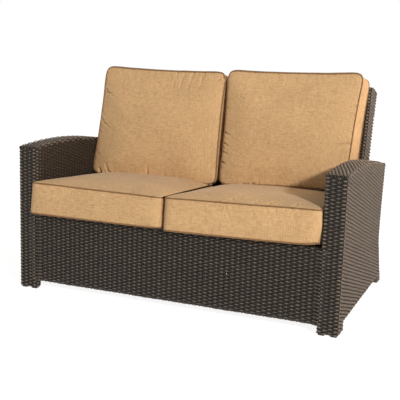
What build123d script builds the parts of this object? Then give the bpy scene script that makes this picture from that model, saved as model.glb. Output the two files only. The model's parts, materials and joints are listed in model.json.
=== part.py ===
"""Two-seat porch loveseat: a welded tube frame, a woven resin skin and four loose cushions.

Sizes are in millimetres. X runs from the viewer's left to right, Y from front to back, Z up.
The profiles are drawn in the Y-Z plane, with Y zero at the front face of the arms and Z zero on
the floor. At the end everything moves back, so that the origin is under the middle of the outline.
"""
from build123d import *
import math
import os

# Arms
overall_width = 1350
arm_width = 79
arm_crest_height = 603
arm_crest_setback = 200
arm_arch_radius = 2250
front_leg_depth = 85
panel_clearance = 42

# Rear line of the arms and the back: a leg that splays out below a bend, and a long curve above it
rear_curve_radius = 2400
rear_curve_height = 140
rear_curve_setback = 705
rear_bend_height = 219
rear_bend_radius = 70
rear_leg_splay = 26

# Back
back_recline = 12
back_front_height = 565
back_front_setback = 628
back_height = 865
back_front_bend_radius = 15
back_rear_bend_radius = 16
back_cap_drop = 70

# Seat
apron_setback = 12
seat_height = 322
deck_slope = 3.7

# Stock: square tube, deeper tube at the back, and the thickness of the woven skin
tube = 25
rear_tube_depth = 32
tube_wall = 1.5
weave = 4

# Glides
glide_height = 5
glide_inset = 1
glide_chamfer = 1.5
glide_plug_height = 10
glide_plug_clearance = 0.5

# Cushions
cushion_side_gap = 1
cushion_middle_gap = 2
cushion_clearance = 0.3
cushion_bulge = 8
cover_thickness = 1.2
core_clearance = 0.3
welt_radius = 3
corner_steps = 4
side_steps = 4
seat_cushion_overhang = 34
seat_cushion_rear_gap = 3
seat_cushion_boxing = 120
seat_cushion_crown = 20
seat_cushion_underside = 6
seat_cushion_corner = 38
seat_cushion_pull = 5
back_cushion_height = 465
back_cushion_lift = 3.5
back_cushion_boxing = 125
back_cushion_crown = 26
back_cushion_rear_crown = 10
back_cushion_corner = 42
back_cushion_pull = 8
back_cushion_foot_bulge = 3

# The sections of a cushion: its flat rear, its boxing from seam to seam, and its crown
rear_scale_share = 0.92
boxing_shares = (0, 0.25, 0.5, 0.75, 1)
crown_scale_shares = (0.93, 0.76, 0.46)
crown_rise_shares = (0.48, 0.84, 1)

# How far cutting shapes reach past what they cut
overrun = 100

half_width = overall_width / 2
seat_half_width = half_width - arm_width
frame_half_width = seat_half_width + weave
reach = overall_width
front_wrap_depth = tube + 2 * weave
rear_wrap_depth = rear_tube_depth + 2 * weave
rail_bottom = panel_clearance + weave

recline = math.radians(back_recline)
back_up = Vector(math.sin(recline), math.cos(recline))
back_forward = Vector(-math.cos(recline), math.sin(recline))
slope = math.radians(deck_slope)
deck_back = Vector(math.cos(slope), -math.sin(slope))
deck_up = Vector(math.sin(slope), math.cos(slope))
deck_start = Vector(apron_setback, seat_height)
back_start = Vector(back_front_setback, back_front_height)
back_top = back_start + back_up * ((back_height - back_front_height) / math.cos(recline))
rear_centre = Vector(rear_curve_setback + rear_curve_radius, rear_curve_height)


# Profiles in the Y-Z plane, drawn as sketches whose X is the part's Y and whose Y is its Z


def area(*corners):
    """A sketch bounded by straight lines through the corners."""
    return make_face(Polyline(*corners, close=True))


def half_plane(start, along, inward):
    """Everything on the inward side of a line."""
    low = start - along * reach
    high = start + along * reach
    return area(low, high, high + inward * reach, low + inward * reach)


def behind(setback):
    """Everything behind an upright plane."""
    return half_plane(Vector(setback, 0), Vector(0, 1), Vector(1, 0))


def above(height):
    """Everything above a level."""
    return half_plane(Vector(0, height), Vector(1, 0), Vector(0, 1))


def column(start, end):
    """Everything between two upright planes."""
    return behind(start) - behind(end)


def band(low, high):
    """Everything between two levels."""
    return above(low) - above(high)


def under_arch(depth):
    """Everything at least this deep under the arched top of an arm."""
    centre = Pos(arm_crest_setback, arm_crest_height - arm_arch_radius)
    return centre * Circle(arm_arch_radius - depth)


def rear_leg_point(depth, height):
    """Where the splayed rear leg line, moved forward by depth, crosses a height."""
    start, down = rear_leg_line(depth)
    return start + down * ((height - start.Y) / down.Y)


def rear_leg_line(depth):
    """A point on the splayed rear leg line, moved forward by depth, and its direction down."""
    splay = math.radians(rear_leg_splay)
    rise = rear_bend_height - rear_curve_height
    bend = Vector(rear_centre.X - math.sqrt(rear_curve_radius**2 - rise**2), rear_bend_height)
    forward = Vector(-math.cos(splay), -math.sin(splay))
    return bend + forward * depth, Vector(math.sin(splay), -math.cos(splay))


def ahead_of_rear(depth):
    """Everything at least this far in front of the rear line."""
    radius = rear_curve_radius + depth
    start, down = rear_leg_line(depth)
    offset = start - rear_centre
    along = offset.dot(down)
    knee = start + down * (-along - math.sqrt(along**2 - offset.dot(offset) + radius**2))
    foot = rear_leg_point(depth, -overrun)

    def on_curve(height):
        rise = height - rear_centre.Y
        return Vector(rear_centre.X - math.sqrt(radius**2 - rise**2), height)

    top = on_curve(back_height + overrun)
    middle = on_curve((knee.Y + top.Y) / 2)
    outline = (
        Line(foot, knee)
        + ThreePointArc(knee, middle, top)
        + Polyline(top, Vector(-overrun, top.Y), Vector(-overrun, foot.Y), foot)
    )
    face = make_face(outline)
    corner = face.vertices().sort_by_distance(Vertex(knee.X, knee.Y, 0))[0]
    return fillet(corner, rear_bend_radius + depth)


def behind_back(depth):
    """Everything at least this deep behind the reclined front of the back."""
    return half_plane(back_start - back_forward * depth, back_up, -back_forward)


def under_back_top(depth):
    """Everything at least this deep under the sloping top of the back."""
    return half_plane(back_top - back_up * depth, back_forward, -back_up)


def inside_back(depth):
    """The side outline of the back, this deep inside its skin, with rounded top corners."""
    outline = behind_back(depth) & under_back_top(depth) & ahead_of_rear(depth)
    for end, radius in ((0, back_front_bend_radius), (-1, back_rear_bend_radius)):
        corners = outline.vertices().filter_by_position(Axis.Y, back_front_height, back_height)
        corner = corners.sort_by(Axis.X)[end]
        outline = fillet(corner, max(radius - depth, tube_wall))
    return outline


def below_deck(depth):
    """Everything at least this deep below the top of the seat deck."""
    return half_plane(deck_start - deck_up * depth, deck_back, -deck_up)


def slab(profile, start, end):
    """A profile of the Y-Z plane, extruded from one X to another."""
    return extrude(Plane.YZ.offset(start) * profile, amount=end - start)


def tube_along(outer, bore, start, end):
    """A tube that lies in the Y-Z plane: side walls in X, and a bore that runs out of its ends."""
    return slab(outer, start, end) - slab(bore, start + tube_wall, end - tube_wall)


def tube_across(outer, bore, half_length):
    """A tube along X, open at both ends."""
    return slab(outer - bore, -half_length, half_length)


# Strips that the tubes fill, each with its bore


def arch_strip(wall):
    return under_arch(weave + wall) - under_arch(weave + tube - wall)


def rear_strip(wall):
    return ahead_of_rear(weave + wall) - ahead_of_rear(weave + rear_tube_depth - wall)


def deck_strip(wall):
    return below_deck(weave + wall) - below_deck(weave + tube - wall)


def stile_strip(wall):
    return behind_back(weave + wall) - behind_back(weave + tube - wall)


def top_strip(wall):
    return under_back_top(weave + wall) - under_back_top(weave + tube - wall)


def bent_stile_strip(wall):
    return inside_back(weave + wall) - inside_back(weave + tube - wall)


def bottom_strip(wall):
    return band(rail_bottom + wall, rail_bottom + tube - wall)


def apron_column(wall):
    start = apron_setback + weave
    return column(start + wall, start + tube - wall)


# Frame


def arm_tubes():
    """The tubes of the right arm: an outer and an inner frame of two posts and an arched rail."""
    outer_start = half_width - weave - tube
    inner_start = frame_half_width
    clear_of_arch = under_arch(weave + tube)
    off_floor = above(glide_height)
    front = column(weave, weave + tube) & off_floor & clear_of_arch
    front_bore = column(weave + tube_wall, weave + tube - tube_wall)
    rear = rear_strip(0) & off_floor & clear_of_arch
    top = arch_strip(0) & behind(weave) & ahead_of_rear(weave)
    between_posts = behind(weave + tube) & ahead_of_rear(weave + rear_tube_depth)
    tubes = {}
    for side, start in (("outer", outer_start), ("inner", inner_start)):
        end = start + tube
        tubes[f"arm_front_post_{side}"] = tube_along(front, front_bore, start, end)
        tubes[f"arm_rear_post_{side}"] = tube_along(rear, rear_strip(tube_wall), start, end)
        tubes[f"arm_top_rail_{side}"] = tube_along(top, arch_strip(tube_wall), start, end)
    rail = bottom_strip(0) & between_posts
    outer_end = outer_start + tube
    tubes["arm_bottom_rail"] = tube_along(rail, bottom_strip(tube_wall), outer_start, outer_end)
    leg_end = front_leg_depth - weave
    leg = column(leg_end - tube, leg_end) & band(glide_height, rail_bottom)
    leg_bore = column(leg_end - tube + tube_wall, leg_end - tube_wall)
    tubes["arm_side_leg"] = tube_along(leg, leg_bore, outer_start, outer_end)
    return tubes


def seat_tubes():
    """The rails under the seat that cross from arm to arm, and the bar in the middle."""
    rear_rail = stile_strip(0) & deck_strip(0)
    rear_bore = stile_strip(tube_wall) & deck_strip(tube_wall)
    front_bore = apron_column(tube_wall) & deck_strip(tube_wall)
    apron_bore = apron_column(tube_wall) & bottom_strip(tube_wall)
    bar = deck_strip(0) & behind(apron_setback + weave + tube) - behind_back(weave)
    side_rail_start = frame_half_width - tube
    return {
        "seat_front_rail": tube_across(apron_column(0) & deck_strip(0), front_bore, frame_half_width),
        "apron_bottom_rail": tube_across(
            apron_column(0) & bottom_strip(0), apron_bore, frame_half_width
        ),
        "seat_rear_rail": tube_across(rear_rail, rear_bore, side_rail_start),
        "seat_middle_bar": tube_along(bar, deck_strip(tube_wall), -tube / 2, tube / 2),
    }


def side_tubes():
    """The tubes of the right end of the seat and the back, beside the arm."""
    start = frame_half_width - tube
    end = frame_half_width
    behind_front_rail = behind(apron_setback + weave + tube)
    ahead_of_post = ahead_of_rear(weave + rear_tube_depth)
    rail = deck_strip(0) & behind_front_rail & ahead_of_post
    post = rear_strip(0) & inside_back(weave) & above(rail_bottom)
    stile = (bent_stile_strip(0) & ahead_of_post) - below_deck(weave)
    return {
        "seat_side_rail": tube_along(rail, deck_strip(tube_wall), start, end),
        "back_post": tube_along(post, rear_strip(tube_wall), start, end),
        "back_stile": tube_along(stile, bent_stile_strip(tube_wall), start, end),
    }


def back_tubes():
    """The rails of the back that lie between its ends, and its middle stile."""
    half_length = frame_half_width - tube
    front = stile_strip(0) & top_strip(0) & inside_back(weave)
    rear = rear_strip(0) & top_strip(0) & inside_back(weave)
    bottom = rear_strip(0) & bottom_strip(0)
    inner_corner = weave + tube_wall
    front_bore = stile_strip(tube_wall) & top_strip(tube_wall) & inside_back(inner_corner)
    rear_bore = rear_strip(tube_wall) & top_strip(tube_wall) & inside_back(inner_corner)
    bottom_bore = rear_strip(tube_wall) & bottom_strip(tube_wall)
    stile = (stile_strip(0) & under_back_top(weave + tube) & inside_back(weave)) - below_deck(weave)
    return {
        "back_top_front_rail": tube_across(front, front_bore, half_length),
        "back_top_rear_rail": tube_across(rear, rear_bore, half_length),
        "back_bottom_rail": tube_across(bottom, bottom_bore, half_length),
        "back_middle_stile": tube_along(stile, stile_strip(tube_wall), -tube / 2, tube / 2),
    }


def foot_glides():
    """A glide under each tube that reaches the floor: a pad, and a plug that enters the tube."""
    pad_size = tube - 2 * glide_inset
    pad = Pos(0, 0, glide_height / 2) * Box(pad_size, pad_size, glide_height)
    pad = chamfer(pad.faces().sort_by(Axis.Z)[0].edges(), glide_chamfer)
    plug_size = tube - 2 * tube_wall - 2 * glide_plug_clearance
    plug_middle = glide_height + glide_plug_height / 2
    glide = pad + Pos(0, 0, plug_middle) * Box(plug_size, plug_size, glide_plug_height)
    outer = half_width - weave - tube / 2
    inner = frame_half_width + tube / 2
    front = weave + tube / 2
    side = front_leg_depth - weave - tube / 2
    rear = rear_leg_point(weave + rear_tube_depth / 2, glide_height).X
    places = [(outer, front), (inner, front), (outer, side), (outer, rear), (inner, rear)]
    return [Pos(sign * x, y, 0) * glide for sign in (-1, 1) for x, y in places]


# Weave


def arm_weave():
    """The woven skin of the right arm: wraps round its posts, two panels and an arched top."""
    skin_start = seat_half_width + weave
    skin_end = half_width - weave
    under_top = under_arch(weave)
    off_floor = above(glide_height)
    over_legs = above(panel_clearance)

    front = column(0, front_wrap_depth) & off_floor & under_top
    front_hollow = column(weave, weave + tube) + (column(weave, front_wrap_depth) & over_legs)
    front_wrap = slab(front, seat_half_width, half_width) - slab(front_hollow, skin_start, skin_end)
    for rail in (apron_column(0) & deck_strip(0), apron_column(0) & bottom_strip(0)):
        front_wrap -= slab(rail, seat_half_width, frame_half_width)

    rear = (ahead_of_rear(0) - ahead_of_rear(rear_wrap_depth)) & off_floor & under_top
    rear_hollow = rear_strip(0) + ((ahead_of_rear(weave) - ahead_of_rear(rear_wrap_depth)) & over_legs)
    rear_wrap = slab(rear, seat_half_width, half_width) - slab(rear_hollow, skin_start, skin_end)
    rear_wrap -= slab(over_legs, seat_half_width, frame_half_width)

    side = behind(front_wrap_depth) & ahead_of_rear(rear_wrap_depth) & under_top & over_legs
    leg = column(front_wrap_depth, front_leg_depth) & band(glide_height, panel_clearance)
    inside = behind(front_wrap_depth) & under_top & ahead_of_rear(0)
    inside = inside - behind_back(0) - below_deck(weave)
    top = (under_arch(0) - under_top) & behind(0) & ahead_of_rear(0)
    cap = slab(top, seat_half_width, half_width) - slab(behind_back(0), seat_half_width, frame_half_width)
    return {
        "arm_front_wrap": front_wrap,
        "arm_rear_wrap": rear_wrap,
        "arm_outer_panel": slab(side + leg, skin_end, half_width),
        "arm_inner_panel": slab(inside, seat_half_width, skin_start),
        "arm_top_weave": cap,
    }


def back_cap_profile():
    """The woven top of the back, from its front bend to its rear bend."""
    return (inside_back(0) - inside_back(weave)) & above(back_height - back_cap_drop)


def body_weave():
    """The woven skin between the arms: apron, seat deck, and front, rear and top of the back."""
    over_deck_rails = below_deck(weave)
    apron = column(apron_setback, apron_setback + weave) & above(panel_clearance) & over_deck_rails
    deck = (below_deck(0) - over_deck_rails) & behind(apron_setback) - behind_back(0)
    below_cap = band(panel_clearance, back_height - back_cap_drop)
    front = ((behind_back(0) - behind_back(weave)) & below_cap) - over_deck_rails
    rear = (ahead_of_rear(0) - ahead_of_rear(weave)) & below_cap
    return {
        "apron_weave": slab(apron, -seat_half_width, seat_half_width),
        "seat_deck": slab(deck, -seat_half_width, seat_half_width),
        "back_front_weave": slab(front, -frame_half_width, frame_half_width),
        "back_rear_weave": slab(rear, -frame_half_width, frame_half_width),
        "back_top_weave": slab(
            back_cap_profile(), -frame_half_width - weave, frame_half_width + weave
        ),
    }


def back_end_weave():
    """The woven right end of the back, above the arm."""
    end = inside_back(0) - under_arch(0) - back_cap_profile()
    return slab(end, frame_half_width, frame_half_width + weave)


# Cushions: X is their width, Y their depth or height, and Z their thickness


def cushion_outline(width, depth, corner, pull, height):
    """Points of a cushion's outline: rounded corners, and sides drawn in between them."""
    x = width / 2 - corner
    y = depth / 2 - corner
    centres = [
        Vector(x, y, height),
        Vector(-x, y, height),
        Vector(-x, -y, height),
        Vector(x, -y, height),
    ]
    points = []
    for quarter, centre in enumerate(centres):
        for step in range(corner_steps + 1):
            angle = math.pi / 2 * (quarter + step / corner_steps)
            spoke = Vector(math.cos(angle), math.sin(angle))
            points.append(centre + spoke * corner)
        to_next = centres[(quarter + 1) % len(centres)] - centre
        for step in range(1, side_steps):
            share = step / side_steps
            drawn_in = pull * 4 * share * (1 - share)
            points.append(centre + to_next * share + spoke * (corner - drawn_in))
    return points


def facets(outlines):
    """Flat facets between one outline and the next. All have parallel edges."""
    faces = []
    for low, high in zip(outlines, outlines[1:]):
        for corners in zip(low, low[1:] + low[:1], high[1:] + high[:1], high):
            faces.append(Face(Wire.make_polygon(corners)))
    return faces


def cushion_form(width, depth, boxing, corner, pull, front_crown, rear_crown, inset):
    """A box cushion with a crown in front and a flat rear, or the same an inset smaller."""
    half = boxing / 2 - inset

    def grown(out, height):
        more = 2 * (out - inset)
        return cushion_outline(width + more, depth + more, corner + more / 2, pull, height)

    def swollen(share):
        return grown(cushion_bulge * 4 * share * (1 - share), half * (2 * share - 1))

    def shrunk(share, height):
        return [Vector(point.X * share, point.Y * share, height) for point in grown(0, height)]

    outlines = [shrunk(rear_scale_share, -half - rear_crown)]
    outlines += [swollen(share) for share in boxing_shares]
    outlines += [
        shrunk(share, half + front_crown * rise)
        for share, rise in zip(crown_scale_shares, crown_rise_shares)
    ]
    ends = [Face(Wire.make_polygon(outline)) for outline in (outlines[0], outlines[-1])]
    return Solid(Shell(facets(outlines) + ends))


def welt(width, depth, corner, pull, height):
    """A piping cord along a seam, square and set on its edge."""

    def grown(out, up):
        more = 2 * (welt_radius + cushion_clearance + out)
        return cushion_outline(width + more, depth + more, corner + more / 2, pull, height + up)

    sides = [
        grown(welt_radius, 0),
        grown(0, welt_radius),
        grown(-welt_radius, 0),
        grown(0, -welt_radius),
    ]
    return Solid(Shell(facets(sides + sides[:1])))


def cushion(sizes, press, place):
    """A cover, its foam core and its welts, pressed flat by a cutting shape and put in place."""
    outer = cushion_form(*sizes, inset=0) - press(0)
    hollow = cushion_form(*sizes, inset=cover_thickness) - press(cover_thickness)
    core_inset = cover_thickness + core_clearance
    core = cushion_form(*sizes, inset=core_inset) - press(core_inset)
    width, depth, boxing, corner, pull = sizes[:5]
    cords = [welt(width, depth, corner, pull, side * boxing / 2) for side in (1, -1)]
    return {
        "cover": [place * (outer - hollow)],
        "core": [place * core],
        "welts": [place * cord for cord in cords],
    }


module_width = seat_half_width - cushion_side_gap - cushion_middle_gap / 2
module_centre = (cushion_middle_gap + module_width) / 2
seam_width = module_width - 2 * cushion_bulge

# Where the deck meets the back, and where the top of the seat cushion meets it
seat_cushion_base = cushion_clearance + seat_cushion_underside
seat_cushion_top = seat_cushion_base + seat_cushion_boxing
to_back = back_start - deck_start
deck_length = to_back.dot(back_forward) / deck_back.dot(back_forward)
lean_per_height = -deck_up.dot(back_forward) / deck_back.dot(back_forward)
seat_cushion_length = deck_length + seat_cushion_overhang - seat_cushion_rear_gap - cushion_bulge / 2
rear_seam = deck_start + deck_back * (deck_length + lean_per_height * seat_cushion_top)
rear_seam += deck_up * seat_cushion_top


def in_profile(point):
    """A point of the Y-Z profile as a place in the part."""
    return Pos(0, point.X, point.Y)


def seat_cushion():
    """A seat cushion, flat below, and pressed in behind where the back cushion stands on it."""
    sizes = (
        seam_width,
        seat_cushion_length,
        seat_cushion_boxing,
        seat_cushion_corner,
        seat_cushion_pull,
        seat_cushion_crown,
        seat_cushion_underside,
    )
    along = seat_cushion_length / 2 - seat_cushion_overhang
    up = seat_cushion_base + seat_cushion_boxing / 2
    centre = deck_start + deck_back * along + deck_up * up
    place = in_profile(centre) * Rot(-deck_slope, 0, 0)

    def press(depth):
        drop = back_cushion_foot_bulge + cushion_clearance + depth - back_cushion_lift
        foot = half_plane(rear_seam - back_up * drop, back_forward, back_up)
        return place.inverse() * slab(foot, -module_width, module_width)

    return cushion(sizes, press, place)


def back_cushion():
    """A back cushion, reclined against the back, and flat below where it stands on the seat."""
    sizes = (
        seam_width,
        back_cushion_height,
        back_cushion_boxing,
        back_cushion_corner,
        back_cushion_pull,
        back_cushion_crown,
        back_cushion_rear_crown,
    )
    forward = cushion_clearance + back_cushion_rear_crown + back_cushion_boxing / 2
    centre = rear_seam + back_up * (back_cushion_lift + back_cushion_height / 2)
    centre += back_forward * forward
    place = in_profile(centre) * Rot(90 - back_recline, 0, 0)

    def press(depth):
        foot = back_cushion_height / 2 + back_cushion_foot_bulge - depth
        return Pos(0, -foot - reach / 2, 0) * Box(reach, reach, reach)

    return cushion(sizes, press, place)


def build():
    """Every node of the loveseat, as lists of solids by name."""
    right = {**arm_tubes(), **side_tubes(), **arm_weave(), "back_end_weave": back_end_weave()}
    nodes = {}
    for name, solid in right.items():
        nodes[f"{name}_left"] = [mirror(solid, about=Plane.YZ)]
        nodes[f"{name}_right"] = [solid]
    for name, solid in {**seat_tubes(), **back_tubes(), **body_weave()}.items():
        nodes[name] = [solid]
    nodes["foot_glides"] = foot_glides()
    for kind, pieces in (("seat", seat_cushion()), ("back", back_cushion())):
        for piece, solids in pieces.items():
            for side, x in (("left", -module_centre), ("right", module_centre)):
                nodes[f"{kind}_cushion_{side}_{piece}"] = [Pos(x, 0, 0) * solid for solid in solids]
    return nodes


nodes = build()
boxes = [solid.bounding_box() for solids in nodes.values() for solid in solids]
middle = (min(box.min.Y for box in boxes) + max(box.max.Y for box in boxes)) / 2
to_origin = Pos(0, -middle, 0)
os.makedirs("parts", exist_ok=True)
for name, solids in nodes.items():
    placed = [to_origin * solid for solid in solids]
    shape = placed[0] if len(placed) == 1 else Compound(children=placed)
    export_step(shape, f"parts/{name}.step")
print("nodes:", len(nodes))
print("moved back by:", round(-middle, 3))
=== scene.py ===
"""Looks of the two-seat wicker loveseat: woven resin skin, sewn cushions, studio and camera.

Lengths are in metres, in the frame's own place: X to the right, Y to the back, Z up.
"""
import json
import math

import bmesh
import bpy
import numpy as np
from bpy.props import FloatProperty, FloatVectorProperty, IntProperty, PointerProperty
from mathutils import Matrix, Vector
from mathutils.bvhtree import BVHTree
from mathutils.kdtree import KDTree

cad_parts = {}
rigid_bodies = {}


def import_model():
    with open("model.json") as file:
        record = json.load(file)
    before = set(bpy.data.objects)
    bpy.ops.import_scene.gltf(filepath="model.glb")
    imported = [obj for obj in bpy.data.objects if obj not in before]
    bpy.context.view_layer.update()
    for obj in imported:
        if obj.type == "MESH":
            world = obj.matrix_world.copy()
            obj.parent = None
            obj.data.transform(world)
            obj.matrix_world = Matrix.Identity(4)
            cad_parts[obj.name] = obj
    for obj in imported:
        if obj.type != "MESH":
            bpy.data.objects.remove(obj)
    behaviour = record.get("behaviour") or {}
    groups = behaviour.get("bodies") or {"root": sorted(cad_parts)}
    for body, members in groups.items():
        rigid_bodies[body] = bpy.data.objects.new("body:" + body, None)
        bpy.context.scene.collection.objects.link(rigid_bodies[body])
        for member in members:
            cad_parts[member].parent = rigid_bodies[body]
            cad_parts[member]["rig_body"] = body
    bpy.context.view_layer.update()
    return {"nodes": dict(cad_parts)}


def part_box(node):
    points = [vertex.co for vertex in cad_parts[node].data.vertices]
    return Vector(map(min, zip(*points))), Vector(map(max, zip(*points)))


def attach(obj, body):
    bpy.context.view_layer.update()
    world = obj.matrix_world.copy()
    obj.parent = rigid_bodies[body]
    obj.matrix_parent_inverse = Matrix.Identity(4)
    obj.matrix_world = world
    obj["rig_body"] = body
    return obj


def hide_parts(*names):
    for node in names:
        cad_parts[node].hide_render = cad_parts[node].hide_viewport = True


bl_info = {
    "name": "Wicker Loveseat",
    "version": (1, 0, 0),
    "blender": (4, 5, 0),
    "location": "View3D > Sidebar > Loveseat",
    "description": "Dresses the loveseat frame in woven strands and sewn cushions",
    "category": "Object",
}

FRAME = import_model()
NODES = FRAME["nodes"]
SIDES = (("left", -1), ("right", 1))
MILLIMETRE = 0.001

POST_LOW, POST_HIGH = (Vector(corner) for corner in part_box("arm_front_wrap_right"))
APRON_LOW, APRON_HIGH = (Vector(corner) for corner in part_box("apron_weave"))
FRONT = POST_LOW.y


def length(name, default, text):
    """A length that the user may change."""
    return FloatProperty(name=name, default=default, description=text, unit="LENGTH", precision=4)


def share(name, default, text):
    """A plain number that the user may change."""
    return FloatProperty(name=name, default=default, description=text, precision=3)


def colour(name, default, text):
    """A linear colour that the user may change."""
    return FloatVectorProperty(name=name, default=default, description=text, subtype="COLOR")


def place(name, default, text):
    """A place that the user may change."""
    return FloatVectorProperty(
        name=name, default=default, description=text, subtype="TRANSLATION", unit="LENGTH"
    )


class LoveseatProfile(bpy.types.PropertyGroup):
    """Side outline of the frame that the weave follows."""

    crest_setback: length("Crest setback", 0.2, "From the front of an arm to its highest point")
    crest_height: length("Crest height", 0.603, "Highest point of an arm")
    arch_radius: length("Arch radius", 2.25, "Radius of the arched arm top")
    rear_radius: length("Rear radius", 2.4, "Radius of the long curve of the rear line")
    rear_setback: length("Rear setback", 0.705, "From the front of an arm to the rear line")
    rear_height: length("Rear height", 0.14, "Height where the rear curve is upright")
    bend_height: length("Bend height", 0.219, "Height where the rear leg splays out")
    bend_reach: length("Bend reach", 0.017, "How far the rear bend's rounding reaches each way")
    leg_splay: share("Leg splay", math.radians(26), "Angle of the rear leg to the upright")
    recline: share("Recline", math.radians(12), "Angle of the back to the upright")
    back_setback: length("Back setback", 0.628, "Front of the back, at its reference height")
    back_level: length("Back level", 0.565, "Reference height of the back's front")
    back_height: length("Back height", 0.865, "Height of the back's front top corner")
    deck_slope: share("Deck slope", math.radians(3.7), "Fall of the seat deck to the back")
    deck_setback: length("Deck setback", 0.012, "From the front of the arms to the deck")
    deck_height: length("Deck height", 0.322, "Front edge of the seat deck")
    leg_depth: length("Leg depth", 0.085, "Depth of a front leg on the outside of an arm")
    rear_leg_depth: length("Rear leg depth", 0.04, "Depth of a rear leg with its weave")
    top_rounding: length("Top rounding", 0.016, "Rounding of the top edges of the back")


class LoveseatWeave(bpy.types.PropertyGroup):
    """Sizes of the strands and of the stakes behind them."""

    stake_pitch: length("Stake pitch", 0.0216, "From one stake to the next")
    row_pitch: length("Row pitch", 0.0069, "From one row of strand to the next")
    strand_width: length("Strand width", 0.0058, "Width of the flat strand")
    strand_thickness: length("Strand thickness", 0.0024, "Thickness of the flat strand")
    wave_height: length("Wave height", 0.0024, "How far a strand swings out and in")
    stake_width: length("Stake width", 0.006, "Width of a stake")
    stake_thickness: length("Stake thickness", 0.003, "Thickness of a stake")
    stand_off: length("Stand-off", 0.001, "From the skin's face in to the middle of the weave")
    # Painted shade: a dark sheet of strips behind the weave, where the real piece has only shadow, set
    # by these three sizes
    shade_sheet_depth: length("Lining depth", 0.0045, "From the middle of the weave in to the lining")
    shade_sheet_thickness: length("Lining thickness", 0.0006, "Thickness of the lining's flat strips")
    bend_strip: length("Bend strip", 0.0324, "Width of the lining behind the apron's bends")
    corner: length("Corner", 0.006, "Rounding of the woven edges")
    lap: length("Lap", 0.009, "How far a skin laps round an edge")
    corner_stake: length("Corner stake", 0.008, "From an edge to the stakes each side of it")
    side_lap: length("Side lap", 0.012, "How far a post's rows lap round on to a side panel")
    drift: length("Drift", 0.0009, "How far a row strays from its even height")
    # Reach of the painted glint on crests next to an edge
    glint_reach: length("Corner reach", 0.009, "How far from an edge the crests are worn pale")
    strap_pitch: length("Strap pitch", 0.03, "From one strap of the seat deck to the next")
    strap_width: length("Strap width", 0.0216, "Width of a strap of the seat deck")


class LoveseatCushions(bpy.types.PropertyGroup):
    """Sizes of the sewing and of the swelling of the cushions."""

    voxel: length("Voxel", 0.007, "Grid of the mesh that is inflated")
    welt_radius: length("Welt radius", 0.003, "Radius of the welts in the frame")
    seam_inset: length("Seam inset", 0.003, "From the welts in to the seam")
    seat_corner: length("Seat corner", 0.026, "Corner radius of a seat cushion")
    seat_pull: length("Seat pull", 0.004, "How far a seat cushion's sides draw in")
    back_corner: length("Back corner", 0.034, "Corner radius of a back cushion")
    back_pull: length("Back pull", 0.008, "How far a back cushion's sides draw in")
    spare_cloth: share("Spare cloth", 0.006, "Cloth cut larger than the seams")
    piping_radius: length("Piping radius", 0.003, "Radius of the piping")
    piping_sink: share("Piping sink", 0.5, "How far the piping stands out of the cloth, in radii")
    frames: IntProperty(name="Frames", default=20, description="Steps of the inflation")
    pressure: share("Pressure", 4.0, "Air pressure in the inflation")
    evening: IntProperty(name="Evening", default=12, description="Times the swelling is evened out")
    seat_cap: length("Seat cap", 0.014, "Furthest that a point of a seat cushion may move")
    back_cap: length("Back cap", 0.018, "Furthest that a point of a back cushion may move")
    arm_bulge: length("Arm bulge", 0.017, "How far a seat cushion swells past the arm")
    seat_joint: length("Seat joint", -0.0285, "Where the two seat cushions meet, at the front")
    back_joint: length("Back joint", 0.009, "Where the two back cushions meet, halfway up")
    back_sag: length("Back sag", 0.035, "How far down the fullest part of a back cushion hangs")
    crease_depth: share("Crease depth", 1.8, "How deep the creases are")
    joint_lean: share("Joint lean", -0.02, "How far that joint leans sideways as it rises")


class LoveseatColours(bpy.types.PropertyGroup):
    """Colours of the finishes."""

    # Painted shade: the darkest tone, given to strands in the hollows of the weave, to the stakes and
    # to the dark strips behind them
    resin_hollow_shade: colour("Resin dark", (0.006, 0.006, 0.0065), "Strands in the hollows of the weave")
    resin_mid: colour("Resin middle", (0.018, 0.017, 0.016), "Strands between hollow and crest")
    # Crest tone: partly the strands' wear, partly a painted highlight where light catches the crests
    resin_crest_wear_and_highlight: colour("Resin pale", (0.12, 0.108, 0.092), "Worn crests of the strands")
    # Painted glint: the palest tone, on crests next to an edge, where light catches the curve
    resin_corner_glint: colour("Resin worn", (0.24, 0.20, 0.16), "Crests of the strands at the edges")
    resin_dust: colour("Resin dust", (1.0, 0.66, 0.4), "Dusty film on the resin, seen at a slant")
    fabric: colour("Fabric", (0.655, 0.435, 0.231), "Cushion fabric")
    fabric_shade: colour("Fabric shade", (0.415, 0.257, 0.117), "Dark threads of the fabric")
    # The piping is a little darker than the cushion cloth, and darkened further with painted shade of
    # the seam line beside it
    piping: colour("Piping", (0.27, 0.15, 0.065), "Piping fabric")
    powder_coat: colour("Powder coat", (0.016, 0.013, 0.011), "Frame tubes")
    glide: colour("Glide", (0.02, 0.02, 0.02), "Foot glides")


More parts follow.
